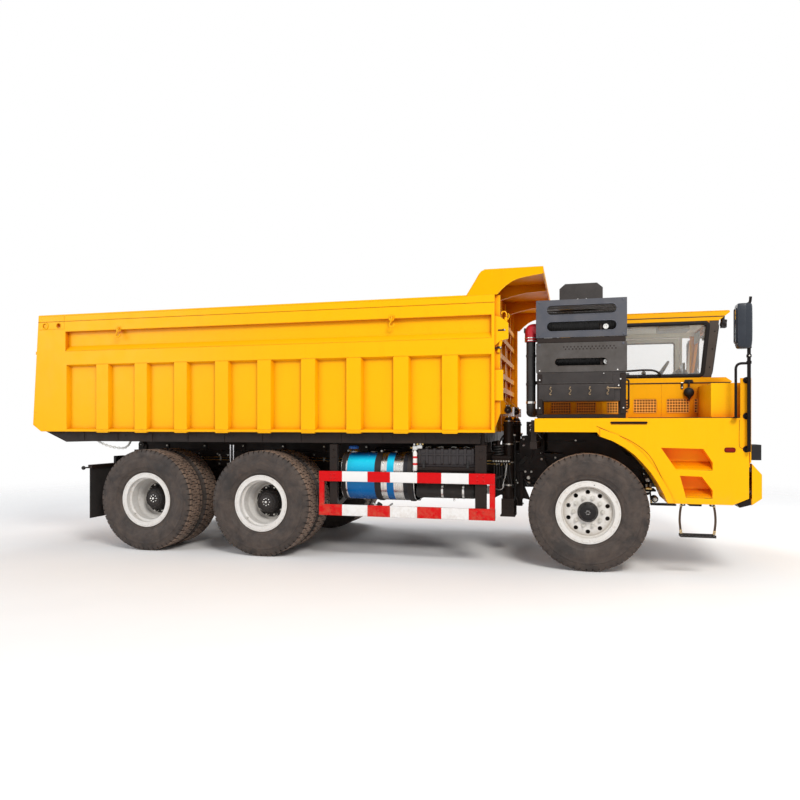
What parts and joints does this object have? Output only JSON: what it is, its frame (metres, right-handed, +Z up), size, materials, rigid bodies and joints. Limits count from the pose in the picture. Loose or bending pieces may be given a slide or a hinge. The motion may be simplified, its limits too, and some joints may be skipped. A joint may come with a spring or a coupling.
{
  "type": "mining dump truck",
  "caption": "Rigid wide-body mining dump truck with an offset cab, ribbed tipping bed with canopy, top-hung tailgate, telescopic hoists, steered front axle and twin-tyred tandem rear axles.",
  "frame": {"origin": "centre of the bounding box's base, on the ground under the middle of the truck", "axes": "+X forward along the truck, +Y to its left, +Z up"},
  "size_m": [9.427, 3.48, 3.5488],
  "materials": {
    "yellow_paint": "satin",
    "black_steel": "satin",
    "rubber": "matt",
    "rim_paint": "satin",
    "engine_grey": "cast",
    "tank_blue": "film over polished",
    "guard_red": "gloss",
    "rack_grey": "satin",
    "flap_rubber": "matt",
    "window": "clear",
    "seat_cloth": "woven",
    "dark_plastic": "grained",
    "lamp": "gloss",
    "rod_chrome": "polished"
  },
  "bodies": {
    "chassis": {"chassis_frame": "black_steel", "front_beam": "black_steel", "outriggers": "black_steel", "hoist_brackets": "black_steel", "front_axle": "black_steel", "rear_axles": "black_steel", "bogie_trunnion": "black_steel", "leaf_springs": "black_steel", "engine_block": "engine_grey", "radiator": "black_steel", "fuel_tank": "tank_blue", "hydraulic_tank": "black_steel", "battery_box": "black_steel", "side_guards": "guard_red", "mudflaps": "flap_rubber", "fenders": "yellow_paint", "front_bumper": "yellow_paint", "front_mask": "yellow_paint", "engine_hood": "yellow_paint", "cab_shell": "yellow_paint", "cab_glass": "window", "seat": "seat_cloth", "cab_interior": "dark_plastic", "filter_rack": "rack_grey", "rack_guards": "rack_grey", "air_intake": "black_steel", "mirrors": "dark_plastic", "lamps": "lamp", "folding_step": "black_steel"},
    "knuckle_right": {"knuckle_right": "black_steel"},
    "knuckle_left": {"knuckle_left": "black_steel"},
    "tie_rod": {"tie_rod": "black_steel"},
    "bed": {"bed_floor": "yellow_paint", "bed_underframe": "black_steel", "bed_sides": "yellow_paint", "headboard": "yellow_paint"},
    "tailgate": {"tailgate": "yellow_paint"},
    "cab_door": {"cab_door": "yellow_paint", "door_glass": "window"},
    "hood_lid": {"hood_lid": "yellow_paint"},
    "hoist_barrels": {"hoist_barrels": "black_steel"},
    "hoist_stage_1": {"hoist_stage_1": "rod_chrome"},
    "hoist_stage_2": {"hoist_stage_2": "rod_chrome"},
    "hoist_stage_3": {"hoist_stage_3": "rod_chrome"},
    "hoist_stage_4": {"hoist_stage_4": "rod_chrome"},
    "wheel_front_right": {"tyre_front_right": "rubber", "rim_front_right": "rim_paint"},
    "wheel_front_left": {"tyre_front_left": "rubber", "rim_front_left": "rim_paint"},
    "wheel_mid_right": {"tyre_mid_right": "rubber", "rim_mid_right": "rim_paint"},
    "wheel_mid_left": {"tyre_mid_left": "rubber", "rim_mid_left": "rim_paint"},
    "wheel_rear_right": {"tyre_rear_right": "rubber", "rim_rear_right": "rim_paint"},
    "wheel_rear_left": {"tyre_rear_left": "rubber", "rim_rear_left": "rim_paint"}
  },
  "joints": [
    {"name": "bed_tilt", "type": "hinge", "parent": "chassis", "child": "bed", "pos_m": [-3.75, 0, 1.4], "axis": [0, -1, 0], "range_deg": [0, 45]},
    {"name": "tailgate_swing", "type": "hinge", "parent": "bed", "child": "tailgate", "pos_m": [-4.503, 0, 3.1], "axis": [0, 1, 0], "range_deg": [0, 75]},
    {"name": "hoist_swing", "type": "hinge", "parent": "chassis", "child": "hoist_barrels", "pos_m": [1.9, 0, 0.65], "axis": [0, -1, 0], "range_deg": [0, 22]},
    {"name": "hoist_slide_1", "type": "slide", "parent": "hoist_barrels", "child": "hoist_stage_1", "axis": [0, 0, 1], "range_m": [0, 1.06]},
    {"name": "hoist_slide_2", "type": "slide", "parent": "hoist_stage_1", "child": "hoist_stage_2", "axis": [0, 0, 1], "range_m": [0, 1.06]},
    {"name": "hoist_slide_3", "type": "slide", "parent": "hoist_stage_2", "child": "hoist_stage_3", "axis": [0, 0, 1], "range_m": [0, 1.06]},
    {"name": "hoist_slide_4", "type": "slide", "parent": "hoist_stage_3", "child": "hoist_stage_4", "axis": [0, 0, 1], "range_m": [0, 1.06]},
    {"name": "steer_right", "type": "hinge", "parent": "chassis", "child": "knuckle_right", "pos_m": [2.9, -1.13, 0.685], "axis": [0, 0, 1], "range_deg": [-35, 35]},
    {"name": "steer_left", "type": "hinge", "parent": "chassis", "child": "knuckle_left", "pos_m": [2.9, 1.13, 0.685], "axis": [0, 0, 1], "range_deg": [-35, 35]},
    {"name": "tie_rod_swing", "type": "hinge", "parent": "knuckle_right", "child": "tie_rod", "pos_m": [2.65, -1.13, 0.555], "axis": [0, 0, 1], "range_deg": [-35, 35]},
    {"name": "roll_front_right", "type": "hinge", "parent": "knuckle_right", "child": "wheel_front_right", "pos_m": [2.9, -1.37, 0.685], "axis": [0, 1, 0], "continuous": true},
    {"name": "roll_front_left", "type": "hinge", "parent": "knuckle_left", "child": "wheel_front_left", "pos_m": [2.9, 1.37, 0.685], "axis": [0, 1, 0], "continuous": true},
    {"name": "roll_mid_right", "type": "hinge", "parent": "chassis", "child": "wheel_mid_right", "pos_m": [-1.2, -1.255, 0.685], "axis": [0, 1, 0], "continuous": true},
    {"name": "roll_mid_left", "type": "hinge", "parent": "chassis", "child": "wheel_mid_left", "pos_m": [-1.2, 1.255, 0.685], "axis": [0, 1, 0], "continuous": true},
    {"name": "roll_rear_right", "type": "hinge", "parent": "chassis", "child": "wheel_rear_right", "pos_m": [-2.9, -1.255, 0.685], "axis": [0, 1, 0], "continuous": true},
    {"name": "roll_rear_left", "type": "hinge", "parent": "chassis", "child": "wheel_rear_left", "pos_m": [-2.9, 1.255, 0.685], "axis": [0, 1, 0], "continuous": true},
    {"name": "door_swing", "type": "hinge", "parent": "chassis", "child": "cab_door", "pos_m": [4.302, 1.508, 2.4], "axis": [0, 0, -1], "range_deg": [0, 70]},
    {"name": "hood_lid_lift", "type": "hinge", "parent": "chassis", "child": "hood_lid", "pos_m": [3.5, -0.066, 2.289], "axis": [-1, 0, 0], "range_deg": [0, 60]}
  ],
  "couplings": [
    {"joint": "hoist_swing", "follows": "bed_tilt", "ratio": 0.4778},
    {"joint": "hoist_slide_1", "follows": "bed_tilt", "m_per_rad": 1.3465},
    {"joint": "hoist_slide_2", "follows": "bed_tilt", "m_per_rad": 1.3465},
    {"joint": "hoist_slide_3", "follows": "bed_tilt", "m_per_rad": 1.3465},
    {"joint": "hoist_slide_4", "follows": "bed_tilt", "m_per_rad": 1.3465},
    {"joint": "steer_left", "follows": "steer_right", "ratio": 1},
    {"joint": "tie_rod_swing", "follows": "steer_right", "ratio": -1}
  ]
}
